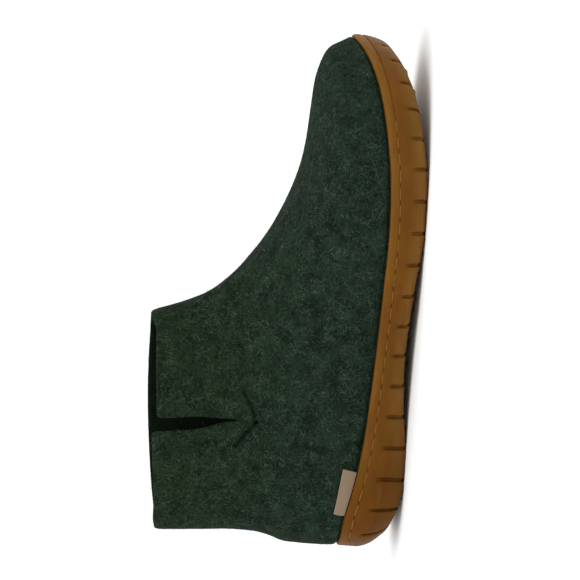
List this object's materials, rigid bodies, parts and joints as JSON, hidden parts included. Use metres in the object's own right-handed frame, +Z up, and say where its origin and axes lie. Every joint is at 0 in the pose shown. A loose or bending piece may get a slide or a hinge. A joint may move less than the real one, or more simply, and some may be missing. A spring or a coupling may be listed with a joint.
{
  "type": "felt ankle boot",
  "caption": "Right wool-felt ankle boot with a slit collar on a moulded rubber cup sole, with a felt insole and a small label tab.",
  "frame": {"origin": "middle of the overall box, on the floor under the sole", "axes": "+X towards the toe, +Y towards the inner side of the right foot, +Z up"},
  "size_m": [0.2902, 0.1106, 0.146],
  "materials": {
    "green_felt": "matt milled wool felt with pale and dark fibres",
    "honey_rubber": "satin natural rubber",
    "insole_felt": "matt wool felt",
    "tan_leather": "matt undyed leather"
  },
  "bodies": {
    "root": {"upper": "green_felt", "outsole": "honey_rubber", "insole": "insole_felt", "tab": "tan_leather"}
  },
  "joints": []
}
